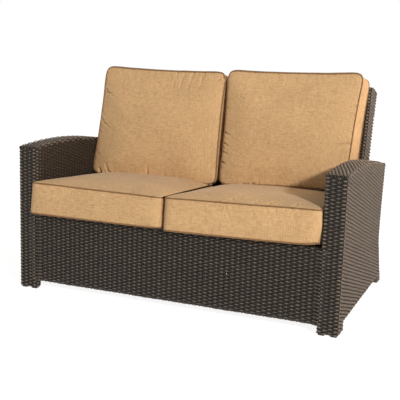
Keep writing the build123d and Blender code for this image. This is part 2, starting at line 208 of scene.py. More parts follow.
class LoveseatStudio(bpy.types.PropertyGroup):
    """Camera and light."""

    camera_place: place("Camera place", (1.2854, FRONT - 2.8777, 1.0737), "Where it stands")
    yaw: share("Yaw", math.radians(21.99), "Camera turned to the left of straight ahead")
    pitch: share("Pitch", math.radians(11.30), "Camera tilted down")
    roll: share("Roll", math.radians(1.82), "Camera tilted sideways")
    lens: share("Lens", 76.1, "Focal length in millimetres")
    sensor: share("Sensor", 36.0, "Width of the camera's sensor in millimetres")
    aim_height: length("Aim height", 0.45, "Height of the point that the lamps are turned to")
    floor_half: length("Floor half", 12.0, "Half the side of the floor")
    key_place: place("Key place", (8.3, -8.3, 5.0), "Where the main lamp is")
    key_size: length("Key size", 0.7, "Side of the main lamp")
    key_power: share("Key power", 1220.0, "Power of the main lamp, ahead and to the right")
    key_colour: colour("Key colour", (1.0, 0.93, 0.84), "Tint of the main lamp")
    side_place: place("Side place", (3.6, 2.4, 2.2), "Where the wide lamp is")
    side_size: length("Side size", 2.6, "Side of the wide lamp")
    side_power: share("Side power", 100.0, "Power of the wide lamp on the right, behind")
    side_colour: colour("Side colour", (1.0, 0.66, 0.36), "Tint of the wide lamp")
    sky_strength: share("Sky strength", 0.4, "Light from all round")
    sky_colour: colour("Sky colour", (1.0, 0.97, 0.92), "Tint of the light from all round")


def sizes(name):
    """The settings group of that name."""
    return getattr(bpy.context.scene, f"loveseat_{name}")


# Side outline


def arch_half_width(level):
    """Half the width of the arch at a height, or nothing above its crest."""
    profile = sizes("profile")
    rise = level - (profile.crest_height - profile.arch_radius)
    return math.sqrt(max(profile.arch_radius**2 - rise**2, 0))


def arch_height(y):
    """Height of an arm's top at a place along it."""
    profile = sizes("profile")
    run = y - FRONT - profile.crest_setback
    return profile.crest_height - profile.arch_radius + math.sqrt(profile.arch_radius**2 - run**2)


def rear_y(level):
    """Where the rear line crosses a height."""
    profile = sizes("profile")

    def curve(z):
        radius = profile.rear_radius
        bow = radius - math.sqrt(radius**2 - (z - profile.rear_height) ** 2)
        return FRONT + profile.rear_setback + bow

    if level >= profile.bend_height:
        return curve(level)
    return curve(profile.bend_height) + (profile.bend_height - level) * math.tan(profile.leg_splay)


def back_y(level):
    """Where the front of the back crosses a height."""
    profile = sizes("profile")
    return FRONT + profile.back_setback + (level - profile.back_level) * math.tan(profile.recline)


def deck_level(y):
    """Height of the seat deck at a place."""
    profile = sizes("profile")
    return profile.deck_height - (y - FRONT - profile.deck_setback) * math.tan(profile.deck_slope)


def rounded(points, radius, steps=4):
    """The corners of an open line of 2-D points, rounded off."""
    points = [np.array(point, float) for point in points]
    line = [points[0]]
    for before, corner, after in zip(points, points[1:], points[2:]):
        arrive = before - corner
        leave = after - corner
        reach = min(radius, np.linalg.norm(arrive) / 2, np.linalg.norm(leave) / 2)
        start = corner + arrive / np.linalg.norm(arrive) * reach
        end = corner + leave / np.linalg.norm(leave) * reach
        for step in range(steps + 1):
            t = step / steps
            line.append((1 - t) ** 2 * start + 2 * t * (1 - t) * corner + t**2 * end)
    line.append(points[-1])
    return np.array(line)


class Line:
    """A line of 2-D points, read by the distance along it. Its outer side is on its right."""

    def __init__(self, points):
        self.points = np.array(points, float)
        runs = np.diff(self.points, axis=0)
        lengths = np.linalg.norm(runs, axis=1)
        self.marks = np.concatenate([[0], np.cumsum(lengths)])
        self.length = self.marks[-1]
        directions = runs / lengths[:, None]
        at_points = np.vstack([directions[:1], directions[:-1] + directions[1:], directions[-1:]])
        at_points /= np.linalg.norm(at_points, axis=1)[:, None]
        self.outward = np.stack([at_points[:, 1], -at_points[:, 0]], axis=1)

    def place(self, distance):
        """The points at distances along the line."""
        return np.stack([np.interp(distance, self.marks, part) for part in self.points.T], axis=1)

    def mark(self, corner):
        """Distance along the line to its point nearest a corner."""
        return self.marks[np.argmin(np.linalg.norm(self.points - corner, axis=1))]

    def normal(self, distance):
        """The outward directions at distances along the line."""
        parts = [np.interp(distance, self.marks, part) for part in self.outward.T]
        normal = np.stack(parts, axis=1)
        return normal / np.linalg.norm(normal, axis=1)[:, None]


def upright(line):
    """A surface that stands on a plan line: read by distance along the line and by height."""

    def surface(across, level):
        across = np.broadcast_to(across, np.broadcast(across, level).shape)
        place = line.place(across)
        normal = line.normal(across)
        level = np.broadcast_to(level, across.shape)
        return (
            np.column_stack([place, level]),
            np.column_stack([normal, np.zeros_like(level)]),
        )

    return surface


def shifted(surface, shift):
    """A surface moved along Y by an amount that depends on height."""

    def moved(across, level):
        points, normals = surface(across, level)
        points[:, 1] += shift(points[:, 2])
        return points, normals

    return moved


def draped(line, section):
    """A surface that carries a cross-section along a side line.

    It is read by distance round the section and along the line. The section's points are X and
    height over the line.
    """

    def surface(across, along):
        along = np.broadcast_to(along, np.broadcast(across, along).shape)
        across = np.broadcast_to(across, along.shape)
        place, normal = section.place(across), section.normal(across)
        base, up = line.place(along), line.normal(along)
        return (
            np.column_stack([place[:, 0], base + up * place[:, 1:]]),
            np.column_stack([normal[:, 0], up * normal[:, 1:]]),
        )

    return surface


def swept(line, start, end):
    """A surface that runs straight along X over a side line."""
    return draped(line, Line([(end, 0), (start, 0)]))


# Strands


class Strands:
    """A growing mesh of closed flat strands. Each point keeps how far out of the weave it is."""

    def __init__(self):
        self.rings = []
        self.marks = []
        self.lifts = []

    def add(self, points, normals, width, thickness, lift):
        """A strand along points, its flat side to the normals, lifted 0 in a hollow to 1 on a crest."""
        along = np.gradient(points, axis=0)
        along /= np.linalg.norm(along, axis=1)[:, None]
        side = np.cross(normals, along)
        side /= np.linalg.norm(side, axis=1)[:, None]
        out = np.cross(along, side)
        half = side * width / 2
        proud = out * thickness / 2
        ring = np.stack([points + half, points + proud, points - half, points - proud], axis=1)
        run = np.linalg.norm(np.diff(points, axis=0), axis=1)
        self.rings.append(ring)
        self.marks.append(np.concatenate([[0], np.cumsum(run)]))
        self.lifts.append(np.broadcast_to(np.reshape(lift, (-1, 1)), ring.shape[:2]).ravel())

    def build(self, name, mirrored=False):
        """The mesh object, in the scene."""
        vertices = []
        faces = []
        grain = []
        base = 0
        sides = self.rings[0].shape[1]
        for ring, marks in zip(self.rings, self.marks):
            count = len(ring)
            vertices.append(ring.reshape(-1, 3))
            index = base + np.arange(count * sides).reshape(count, sides)
            turned = np.roll(index, -1, axis=1)
            quads = np.stack([index[:-1], turned[:-1], turned[1:], index[1:]], axis=-1)
            faces.append(quads.reshape(-1, 4))
            faces.append(index[:1, ::-1])
            faces.append(index[-1:])
            round_it = np.arange(sides) / sides
            low = np.broadcast_to(marks[:-1, None], (count - 1, sides))
            high = np.broadcast_to(marks[1:, None], (count - 1, sides))
            near = np.broadcast_to(round_it, low.shape)
            far = near + 1 / sides
            corners = [low, near, low, far, high, far, high, near]
            grain.append(np.stack(corners, axis=-1).reshape(-1, 2))
            grain.append(np.zeros((2 * sides, 2)))
            base += count * sides
        vertices = np.concatenate(vertices)
        faces = np.concatenate(faces)
        if mirrored:
            vertices = vertices * (-1, 1, 1)
            faces = faces[:, ::-1]
        mesh = bpy.data.meshes.new(name)
        mesh.from_pydata(vertices.tolist(), [], faces.tolist())
        uv = mesh.uv_layers.new(name="grain")
        uv.data.foreach_set("uv", np.concatenate(grain).ravel())
        lift = mesh.attributes.new("lift", "FLOAT", "POINT")
        lift.data.foreach_set("value", np.concatenate(self.lifts))
        mesh.polygons.foreach_set("use_smooth", np.ones(len(faces), bool))
        mesh.update()
        piece = bpy.data.objects.new(name, mesh)
        bpy.context.scene.collection.objects.link(piece)
        return piece


# A strand lies flat over this share of the way to the next stake, then dives behind that stake
FLAT_SHARE = 0.6
FLAT_HEIGHT = 0.9
# Lift of an ordinary crest; crests with the painted glint at an edge reach 1
CREST_LIFT = 0.75
# A strand keeps no point nearer its end than this share of the way between two stakes
END_MARGIN = 0.05
# Sines by which rows stray, in radians per metre along the row and from row to row
WANDER = ((19, 31), (37, -23))
# A stake, or a strip of the dark sheet of painted shade behind the weave, breaks where its rows are
# more than this many rows apart
BREAK = 2.5


def even_places(start, end, pitch):
    """Places from one to another, evenly spaced at about a pitch."""
    return np.linspace(start, end, max(round(abs(end - start) / pitch), 1) + 1)


def wave(start, end, stakes, row, fine):
    """Places along a row, and how far out it is there: 1 over a stake and -1 behind one."""
    gaps = np.diff(stakes)
    before = np.append(gaps[0], gaps) / 2
    after = np.append(gaps, gaps[-1]) / 2
    places = [stakes - FLAT_SHARE * before, stakes, stakes + FLAT_SHARE * after]
    heights = [FLAT_HEIGHT, 1, FLAT_HEIGHT]
    if not fine:
        del places[1], heights[1]
    across = np.stack(places, axis=1).ravel()
    signs = np.where((np.arange(len(stakes)) + row) % 2, -1, 1)
    out = (signs[:, None] * heights).ravel()
    margin = gaps.mean() * END_MARGIN
    inside = (across > start + margin) & (across < end - margin)
    ends = np.interp([start, end], across, out)
    across = np.concatenate([[start], across[inside], [end]])
    return across, np.concatenate([ends[:1], out[inside], ends[1:]])


def strayed(surface):
    """A surface whose rows stray a little, as in weaving by hand."""
    drift = sizes("weave").drift

    def moved(across, level):
        wander = sum(np.sin(along * across + over * level) for along, over in WANDER)
        return surface(across, level + drift * wander / len(WANDER))

    return moved


def turned(surface):
    """A surface with its two directions swapped."""
    return lambda across, level: surface(level, across)


def whole(line):
    """Spans for weave that take a line's whole length at every level."""
    return lambda level: [(0, line.length)]


def weave(
    strands, surface, levels, spans, stakes, turn=0, fine=True, corners=(), wear=1.0, edge_glint_gain=1 / 6
):
    """Rows of strand over and under upright stakes, on a surface.

    levels is the lowest and the highest row, and spans gives the stretches of a row at a level.
    turn swaps over and under, and fine gives each crest a point more. corners are places where a
    row needs a point, to go round. wear scales the pale tone of the crests, partly their wear and
    partly a painted highlight, and the last argument is how much more painted glint crests get at
    corners.
    """
    sizing = sizes("weave")
    stakes = np.asarray(stakes)
    step = sizing.row_pitch
    laid = strayed(surface)
    rows = []
    for row in range(math.ceil(levels[0] / step - 0.5), math.ceil(levels[1] / step)):
        level = (row + 0.5) * step
        for start, end in spans(level):
            if end - start < sizing.corner:
                continue
            across, out = wave(start, end, stakes, row + turn, fine)
            for corner in corners:
                if start < corner < end:
                    index = np.searchsorted(across, corner)
                    out = np.insert(out, index, np.interp(corner, across, out))
                    across = np.insert(across, index, corner)
            points, normals = laid(across, level)
            points = points + normals * (out * sizing.wave_height - sizing.stand_off)[:, None]
            # The lift picks the strand's tone: painted shade in the hollows, wear and painted highlight
            # on the crests
            lift = wear * CREST_LIFT * (out + 1) / 2
            # Crests next to an edge get a painted glint: their lift is raised
            if len(corners):
                away = np.abs(across[:, None] - np.asarray(corners)).min(axis=1)
                at_edge = (away < sizing.glint_reach) & (out > 0)
                lift = np.where(at_edge, lift * (1 + edge_glint_gain), lift)
            strands.add(points, normals, sizing.strand_width, sizing.strand_thickness, lift)
            rows.append((level, start, end))
    rows = np.array(rows)
    between = (stakes[1:] + stakes[:-1]) / 2
    strip = sizing.stake_pitch / 2 + sizing.shade_sheet_thickness
    # Dark strips of painted shade behind the weave at each stake, between stakes and at corners, and
    # the stakes themselves
    for across in np.concatenate([stakes, between, corners]):
        levels_there = rows[(rows[:, 1] < across) & (rows[:, 2] > across), 0]
        for run in runs_of(levels_there, BREAK * step):
            reach = (run[0] - step / 2, run[-1] + step / 2)
            shade_sheet_strip(strands, surface, across, reach, strip)
            if across in stakes:
                size = (sizing.stake_width, sizing.stake_thickness)
                upright_strand(strands, surface, across, reach, *size, 0)


def runs_of(levels, gap):
    """Levels in order, split where the gap between two is wide."""
    runs = []
    for level in levels:
        if not runs or level - runs[-1][-1] > gap:
            runs.append([])
        runs[-1].append(level)
    return runs


def upright_strand(strands, surface, across, reach, width, thickness, depth):
    """One stake or strip up a surface, at a depth behind the weave's middle."""
    sizing = sizes("weave")
    stations = even_places(*reach, sizing.stake_pitch)
    points, normals = surface(across, stations)
    points = points - normals * (sizing.stand_off + depth)
    # Lift 0 gives stakes and strips the painted shade tone of the hollows
    strands.add(points, normals, width, thickness, 0.0)


def shade_sheet_strip(strands, surface, across, reach, width):
    """One strip of a dark sheet of painted shade behind the weave, which keeps light from coming
    through it.
    """
    sizing = sizes("weave")
    size = (width, sizing.shade_sheet_thickness)
    upright_strand(strands, surface, across, reach, *size, sizing.shade_sheet_depth)


# Finishes

# How much brighter a coat is where it is worn
WORN_COAT = 1.6


def new_material(name, build):
    """A node material, made once."""
    material = bpy.data.materials.get(name)
    if material is None:
        material = bpy.data.materials.new(name)
        material.use_nodes = True
        nodes = material.node_tree.nodes
        build(nodes, material.node_tree.links, nodes["Principled BSDF"])
    return material


def noise(nodes, links, coordinates, scale, detail=3, stretch=(1, 1, 1)):
    """A noise value over coordinates stretched along the axes."""
    mapping = nodes.new("ShaderNodeMapping")
    mapping.inputs["Scale"].default_value = stretch
    links.new(coordinates, mapping.inputs["Vector"])
    texture = nodes.new("ShaderNodeTexNoise")
    texture.inputs["Scale"].default_value = scale
    texture.inputs["Detail"].default_value = detail
    links.new(mapping.outputs["Vector"], texture.inputs["Vector"])
    return texture.outputs["Fac"]


def ramp(nodes, links, value, stops):
    """A colour ramp over a value, from places and colours."""
    node = nodes.new("ShaderNodeValToRGB")
    elements = node.color_ramp.elements
    while len(elements) < len(stops):
        elements.new(0.5)
    for element, (place, tint) in zip(elements, stops):
        element.position = place
        element.color = (*tint, 1)
    links.new(value, node.inputs["Fac"])
    return node.outputs["Color"]


def blend(nodes, links, mode, factor, first, second):
    """Two colours mixed."""
    node = nodes.new("ShaderNodeMix")
    node.data_type = "RGBA"
    node.blend_type = mode
    node.inputs["Factor"].default_value = factor
    links.new(first, node.inputs["A"])
    links.new(second, node.inputs["B"])
    return node.outputs["Result"]


def choice(nodes, links, factor, first, second):
    """One of two plain colours, by a factor of 0 or 1."""
    node = nodes.new("ShaderNodeMix")
    node.data_type = "RGBA"
    node.inputs["A"].default_value = (*first, 1)
    node.inputs["B"].default_value = (*second, 1)
    links.new(factor, node.inputs["Factor"])
    return node.outputs["Result"]


def bump(nodes, links, shader, height, strength, distance):
    """Relief on a shader."""
    node = nodes.new("ShaderNodeBump")
    node.inputs["Strength"].default_value = strength
    node.inputs["Distance"].default_value = distance
    links.new(height, node.inputs["Height"])
    links.new(node.outputs["Normal"], shader.inputs["Normal"])


def resin_material():
    """Dark resin strand with grain along it: painted shade makes it black in the hollows, and its
    crests are pale from wear and a painted highlight, with a painted glint at edges.
    """

    def build(nodes, links, shader):
        colours = sizes("colours")
        geometry = nodes.new("ShaderNodeNewGeometry")
        coordinates = nodes.new("ShaderNodeTexCoord")
        lift = nodes.new("ShaderNodeAttribute")
        lift.attribute_name = "lift"
        # Tones by lift: painted shade, middle, crest wear with painted highlight, painted glint at
        # edges
        steps = (0.7 * CREST_LIFT, 0.9 * CREST_LIFT, CREST_LIFT, 1)
        shades = (colours.resin_hollow_shade, colours.resin_mid, colours.resin_crest_wear_and_highlight, colours.resin_corner_glint)
        tones = list(zip(steps, shades))
        tone = ramp(nodes, links, lift.outputs["Fac"], tones)
        strand = geometry.outputs["Random Per Island"]
        each = ramp(nodes, links, strand, [(0, (0.88,) * 3), (1, (1.12,) * 3)])
        patches = noise(nodes, links, coordinates.outputs["Object"], 45, 2)
        patch = ramp(nodes, links, patches, [(0.35, (0.72, 0.74, 0.76)), (0.65, (1.3, 1.26, 1.22))])
        grain = noise(nodes, links, coordinates.outputs["UV"], 1, 4, (60, 40, 1))
        streak = ramp(nodes, links, grain, [(0.35, (0.75,) * 3), (0.7, (1.2, 1.19, 1.17))])
        for other in (each, patch, streak):
            tone = blend(nodes, links, "MULTIPLY", 1, tone, other)
        links.new(tone, shader.inputs["Base Color"])
        worn = ramp(nodes, links, grain, [(0.2, (0.5,) * 3), (0.8, (0.38,) * 3)])
        links.new(worn, shader.inputs["Roughness"])
        shader.inputs["Sheen Weight"].default_value = 0.3
        shader.inputs["Sheen Roughness"].default_value = 0.35
        shader.inputs["Sheen Tint"].default_value = (*colours.resin_dust, 1)
        bump(nodes, links, shader, grain, 0.25, 0.0006)

    return new_material("woven_resin", build)


def fabric_material(name, light, dark):
    """Slub fabric: fine crossing threads with thick and thin places."""

    def build(nodes, links, shader):
        coordinates = nodes.new("ShaderNodeTexCoord").outputs["Object"]
        level_threads = noise(nodes, links, coordinates, 1, 3, (45, 900, 900))
        upright_threads = noise(nodes, links, coordinates, 1, 3, (900, 60, 60))
        level_slubs = noise(nodes, links, coordinates, 1, 2, (26, 420, 420))
        upright_slubs = noise(nodes, links, coordinates, 1, 2, (420, 28, 28))
        slubs = blend(nodes, links, "MIX", 0.5, level_slubs, upright_slubs)
        patches = noise(nodes, links, coordinates, 9, 2)
        threads = blend(nodes, links, "MIX", 0.4, level_threads, upright_threads)
        tone = ramp(nodes, links, threads, [(0.36, dark), (0.56, light)])
        slub = ramp(nodes, links, slubs, [(0.38, (0.88, 0.86, 0.83)), (0.58, (1.04, 1.04, 1.05))])
        cloud = ramp(nodes, links, patches, [(0.3, (0.95, 0.94, 0.93)), (0.7, (1.03, 1.03, 1.02))])
        for other in (slub, cloud):
            tone = blend(nodes, links, "MULTIPLY", 1, tone, other)
        links.new(tone, shader.inputs["Base Color"])
        shader.inputs["Roughness"].default_value = 0.92
        shader.inputs["Sheen Weight"].default_value = 0.1
        relief = blend(nodes, links, "MIX", 0.35, threads, slubs)
        bump(nodes, links, shader, relief, 0.4, 0.0009)

    return new_material(name, build)


def coat_material(name, tint, roughness):
    """Powder coat or moulded plastic: fine orange peel and slight wear."""

    def build(nodes, links, shader):
        coordinates = nodes.new("ShaderNodeTexCoord").outputs["Object"]
        peel = noise(nodes, links, coordinates, 700)
        wear = noise(nodes, links, coordinates, 25)
        worn = tuple(WORN_COAT * part for part in tint)
        tone = ramp(nodes, links, wear, [(0.4, tint), (0.75, worn)])
        links.new(tone, shader.inputs["Base Color"])
        shader.inputs["Roughness"].default_value = roughness
        bump(nodes, links, shader, peel, 0.2, 0.0003)

    return new_material(name, build)


def finish_piece(piece, material, body, nodes):
    """Gives a piece its material, its body and the nodes it stands for."""
    piece.data.materials.clear()
    piece.data.materials.append(material)
    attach(piece, body)
    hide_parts(*nodes)


# Skins of the arms

# How many points a long curve has
CURVE_POINTS = 24


def cap(start, end):
    """A cross-section from one X to another that laps over both edges."""
    sizing = sizes("weave")
    lap = -sizing.lap
    return Line(rounded([(start, lap), (start, 0), (end, 0), (end, lap)], sizing.corner))


def cap_stakes(section, start, end):
    """Stakes over a cap: one each side of its edges, and even ones between."""
    sizing = sizes("weave")
    first, last = section.mark((start, 0)), section.mark((end, 0))
    aside = sizing.corner_stake
    across = even_places(first + aside, last - aside, sizing.stake_pitch)
    return np.concatenate([[first - aside], across, [last + aside]])


def post_stakes(line, inner, outer):
    """Stakes round a front post and its leg, and 1 where they swap over and under."""
    sizing = sizes("weave")
    aside = sizing.corner_stake
    before = np.arange(inner - aside, -aside, -sizing.stake_pitch)[::-1]
    front = even_places(inner + aside, outer - aside, sizing.stake_pitch)
    after = np.arange(outer + aside, line.length + sizing.stake_pitch, sizing.stake_pitch)
    return np.concatenate([before, front, after]), len(before) % 2


def arm_front(strands):
    """Front post of the right arm, from its inner side round to its outer corner, and its leg."""
    profile, sizing = sizes("profile"), sizes("weave")
    inner, outer = POST_LOW.x, POST_HIGH.x
    rear = POST_HIGH.y
    wrap = FRONT + sizing.side_lap
    plan = [(inner, rear), (inner, FRONT), (outer, FRONT), (outer, wrap)]
    line = Line(rounded(plan, sizing.corner))
    edge = line.mark((inner, FRONT))
    stakes, turn = post_stakes(line, edge, line.mark((outer, FRONT)))
    clearance = APRON_LOW.z

    def spans(level):
        start = 0 if level > profile.deck_height else edge + sizing.corner
        return [(start, line.length)]

    top = arch_height(FRONT) - sizing.lap
    weave(strands, upright(line), (clearance, top), spans, stakes, turn, corners=line.marks[1:-1])
    leg_inner = outer - (POST_HIGH.y - POST_LOW.y)
    leg_rear = FRONT + profile.leg_depth
    foot = [
        (leg_inner, rear),
        (inner, rear),
        (inner, FRONT),
        (outer, FRONT),
        (outer, leg_rear),
        (leg_inner, leg_rear),
        (leg_inner, rear),
    ]
    loop = Line(rounded(foot, sizing.corner))
    stakes, turn = post_stakes(loop, loop.mark((inner, FRONT)), loop.mark((outer, FRONT)))
    levels = (POST_LOW.z, clearance)
    weave(strands, upright(loop), levels, whole(loop), stakes, turn, corners=loop.marks[1:-1])


def arm_outer(strands):
    """Outer side of the right arm, from its front corner to the rear line."""
    profile, sizing = sizes("profile"), sizes("weave")
    line = Line([(POST_HIGH.x, FRONT), (POST_HIGH.x, -FRONT)])
    aside = sizing.corner_stake

    def spans(level):
        half = arch_half_width(level + sizing.corner)
        start = max(sizing.side_lap, profile.crest_setback - half)
        end = min(rear_y(level) - FRONT - sizing.corner, profile.crest_setback + half)
        return [(start, end)] if end > start else []

    stakes = np.arange(aside, line.length, sizing.stake_pitch)
    weave(strands, upright(line), (APRON_LOW.z, profile.crest_height), spans, stakes)


def arm_inner(strands):
    """Inner side of the right arm above the seat deck, up to the front of the back."""
    profile, sizing = sizes("profile"), sizes("weave")
    line = Line([(POST_LOW.x, -FRONT), (POST_LOW.x, FRONT)])

    def spans(level):
        half = arch_half_width(level + sizing.corner)
        crest = FRONT + profile.crest_setback
        front = max(POST_HIGH.y, crest - half)
        if level < deck_level(front):
            run = (profile.deck_height - level) / math.tan(profile.deck_slope)
            front = FRONT + profile.deck_setback + run
        rear = min(back_y(level), crest + half)
        return [(-FRONT - rear, -FRONT - front)] if rear > front else []

    low = deck_level(back_y(profile.deck_height))
    stakes = np.arange(0, line.length, sizing.stake_pitch)
    # The inner faces' crests are toned darker than the other skins'
    weave(strands, upright(line), (low, profile.crest_height), spans, stakes, fine=False, wear=0.86)


def rear_points(low, high):
    """The rear line from one height to another, as points of Y and Z."""
    profile = sizes("profile")
    levels = list(np.linspace(low, high, CURVE_POINTS))
    levels = [z for z in levels if abs(z - profile.bend_height) > profile.bend_reach]
    return [(rear_y(z), z) for z in levels]


def arm_rear(strands):
    """Rear post of the right arm, and its leg."""
    sizing = sizes("weave")
    low, high = (corner.z for corner in map(Vector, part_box("arm_rear_wrap_right")))
    clearance = APRON_LOW.z
    inner, outer = POST_LOW.x, POST_HIGH.x
    line = Line(rear_points(clearance, high))
    section = cap(outer, inner)
    stakes = cap_stakes(section, outer, inner)
    weave(strands, draped(line, section), (0, line.length), whole(section), stakes)
    depth = sizes("profile").rear_leg_depth
    plan = [(outer, 0), (inner, 0), (inner, -depth), (outer, -depth), (outer, 0)]
    loop = Line(rounded(plan, sizing.corner))
    slope = math.tan(sizes("profile").leg_splay)
    foot = shifted(upright(loop), lambda z: rear_y(clearance) + (clearance - z) * slope)
    stakes = even_places(0, loop.length, sizing.stake_pitch)
    weave(strands, foot, (low, clearance), whole(loop), stakes, corners=loop.marks[1:-1])


def arm_top(strands):
    """Arched top of the right arm: rows along the arm, lapped over its edges and its front."""
    sizing = sizes("weave")
    rear = min(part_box("arm_top_weave_right")[1][1], -FRONT)
    arch = [(y, arch_height(y)) for y in np.linspace(rear, FRONT, CURVE_POINTS)]
    lap = (FRONT, arch_height(FRONT) - sizing.lap)
    line = Line(rounded(arch + [lap], sizing.corner))
    inner, outer = POST_LOW.x, POST_HIGH.x
    section = cap(outer, inner)
    (_, behind, _), (beside, _, _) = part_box("back_end_weave_right")
    short = section.mark((outer, 0)) + outer - beside
    ahead = np.interp(-behind, -line.points[:, 0], line.marks)
    front = line.mark((FRONT, arch_height(FRONT)))
    stakes = np.arange(front - sizing.corner_stake, 0, -sizing.stake_pitch)[::-1]
    stakes = np.append(stakes, front + sizing.corner_stake)

    def spans(level):
        return [(0 if level < short else ahead, line.length)]

    surface = turned(draped(line, section))
    # Painted highlight: the top's crests are toned paler, as where light falls on the top; crests at
    # its front lap get less painted glint
    worn = {"corners": line.marks[-6:-1], "wear": 1.13, "edge_glint_gain": -0.2}
    weave(strands, surface, (0, section.length), spans, stakes, **worn)


# Skins of the seat and the back


def apron(strands):
    """Front apron between the arms. Its ends come forward to meet the posts' weave."""
    sizing = sizes("weave")
    flush = APRON_HIGH.x + sizing.corner
    inset = APRON_HIGH.x - sizing.stake_pitch
    plan = [(-flush, FRONT), (-inset, APRON_LOW.y), (inset, APRON_LOW.y), (flush, FRONT)]
    line = Line(rounded(plan, sizing.corner))
    end = APRON_HIGH.x + sizing.corner_stake - sizing.stake_pitch
    pairs = round(end / sizing.stake_pitch)
    stakes = line.length / 2 + end * np.linspace(-1, 1, 2 * pairs + 1)
    levels = (APRON_LOW.z - sizing.row_pitch, sizes("profile").deck_height)
    weave(strands, upright(line), levels, whole(line), stakes, turn=1)
    # Wider dark strips of painted shade behind the apron's bends
    for bend in line.marks[[0, 3, -4, -1]]:
        shade_sheet_strip(strands, upright(line), bend, levels, sizing.bend_strip)


def sheet(strands, line, low, high):
    """A plain woven sheet that runs along X over a side line."""
    wide = high - low
    stakes = even_places(0, wide, sizes("weave").stake_pitch)
    surface = swept(line, low, high)
    weave(strands, surface, (0, line.length), lambda along: [(0, wide)], stakes, fine=False)


def back_front(strands):
    """Front of the back."""
    low, high = (Vector(corner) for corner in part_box("back_front_weave"))
    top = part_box("back_top_weave")[1][2]
    sheet(strands, Line([(back_y(top), top), (back_y(low.z), low.z)]), low.x, high.x)


def back_rear(strands):
    """Rear of the back, down to its bottom rail."""
    low, high = (Vector(corner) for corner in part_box("back_rear_weave"))
    sheet(strands, Line(rear_points(low.z, high.z)), low.x, high.x)


def back_top_line():
    """The rounded top of the back, from its front to its rear, as points of Y and Z."""
    profile = sizes("profile")
    low = Vector(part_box("back_top_weave")[0])
    top = profile.back_height
    front = (back_y(top), top)
    fall = math.tan(profile.recline)
    rear_level = top - (rear_y(top) - back_y(top)) * fall
    rear = (rear_y(rear_level), rear_level)
    start = (back_y(low.z), low.z)
    end = (rear_y(low.z), low.z)
    return rounded([start, front, rear, end], profile.top_rounding)


def back_top(strands):
    """Rolled top of the back, lapped over its ends."""
    low, high = (Vector(corner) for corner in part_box("back_top_weave"))
    line = Line(back_top_line()[::-1])
    section = cap(high.x, low.x)
    stakes = cap_stakes(section, high.x, low.x)
    weave(strands, draped(line, section), (0, line.length), whole(section), stakes)


def back_end(strands):
    """Right end of the back, above the arm, with its rows lapped round to the front."""
    profile, sizing = sizes("profile"), sizes("weave")
    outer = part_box("back_end_weave_right")[1][0]
    plan = [(outer - sizing.side_lap, 0), (outer, 0), (outer, profile.crest_setback)]
    line = Line(rounded(plan, sizing.corner))
    edge = line.mark((outer, 0))
    top = back_top_line()
    crest = np.argmax(top[:, 1])
    low = arch_height(FRONT + profile.rear_setback)

    def spans(level):
        front, rear = back_y(level), rear_y(level)
        if level > top[0, 1]:
            front = max(front, np.interp(level, top[: crest + 1, 1], top[: crest + 1, 0]))
            rear = min(rear, np.interp(-level, -top[crest:, 1], top[crest:, 0]))
        start, end = front - back_y(level), rear - back_y(level)
        if level < arch_height(rear):
            arm_end = FRONT + profile.crest_setback + arch_half_width(level)
            start = max(start, arm_end - back_y(level))
        return [(edge + start if start > 0 else 0, edge + end)] if end > start else []

    across = np.arange(edge + sizing.corner_stake, line.length, sizing.stake_pitch)
    stakes = np.append(edge - sizing.corner_stake, across)
    surface = shifted(upright(line), back_y)
    weave(strands, surface, (low, top[:, 1].max()), spans, stakes, corners=line.marks[1:-1])


# Tone of the deck's straps on the strands' scale: 0 is the painted shade of a hollow, 1 a crest with
# the painted glint of an edge
STRAP_TONE = 0.6


def deck(strands):
    """Seat deck of wide straps, woven one over one."""
    profile, sizing = sizes("profile"), sizes("weave")
    rear = back_y(deck_level(back_y(profile.deck_height)))
    front = FRONT + profile.deck_setback
    line = Line([(rear, deck_level(rear)), (front, deck_level(front))])
    wide = APRON_HIGH.x - APRON_LOW.x
    surface = swept(line, APRON_LOW.x, APRON_HIGH.x)
    across_places = even_places(0, wide, sizing.strap_pitch)
    along_places = even_places(0, line.length, sizing.strap_pitch)
    middles = (along_places[1:] + along_places[:-1]) / 2
    rise = sizing.strand_thickness / 2

    def lay(across, along, out):
        points, normals = surface(across, along)
        points = points + normals * (out * rise - sizing.stand_off)[:, None]
        strands.add(points, normals, sizing.strap_width, rise, STRAP_TONE)

    for row, along in enumerate(middles):
        across, out = wave(0, wide, across_places, row, False)
        lay(across, along, out)
    for row, across in enumerate(across_places[1:-1]):
        along, out = wave(0, line.length, middles, row, False)
        lay(across, along, out)


# Cushions: X is their width, Y their depth or height, and Z their thickness

# Steps in the rounding of a cushion's corner
CORNER_STEPS = 8
# A pad before it is inflated: how much of its crown it has in front and behind, and the rings
# of a crown, whose angles run from the first share of a right angle and whose spread is a power
FRONT_CROWN, REAR_CROWN = 0.72, 0.6
CROWN_RINGS, FIRST_RING, RING_POWER = 8, 0.1, 0.6
# The cloth that is inflated
CLOTH = {
    "quality": 5,
    "mass": 0.3,
    "tension_stiffness": 12,
    "compression_stiffness": 12,
    "shear_stiffness": 4,
    "bending_stiffness": 0.35,
    "use_pressure": True,
}
# A crease starts this far from its seam, is this much shallower behind the seam, and has a ridge
# on each side, this much of its depth high and this many of its widths away
CREASE_START = 0.004
BEHIND_SEAM = 0.35
RIDGE_HEIGHT, RIDGE_AWAY = 0.35, 1.7
# Small gathers along the seams: how far apart, how deep, and from the least to the most how much
# of that depth each has, its width, its length and its slant
GATHER_SPACING, GATHER_DEPTH = 0.03, 0.0012
GATHER_RANGES = ((0.2, 1.0), (0.003, 0.007), (0.015, 0.05), (-0.5, 0.5))
# In front of the arms a seat cushion swells over this length, in this outer share of its width
SWELL_LENGTH, SWELL_SHARE = 0.02, 0.1
# Room kept between cloth or piping and what it is pressed flat on
PAD_GAP, CORD_GAP = 0.0012, 0.0006
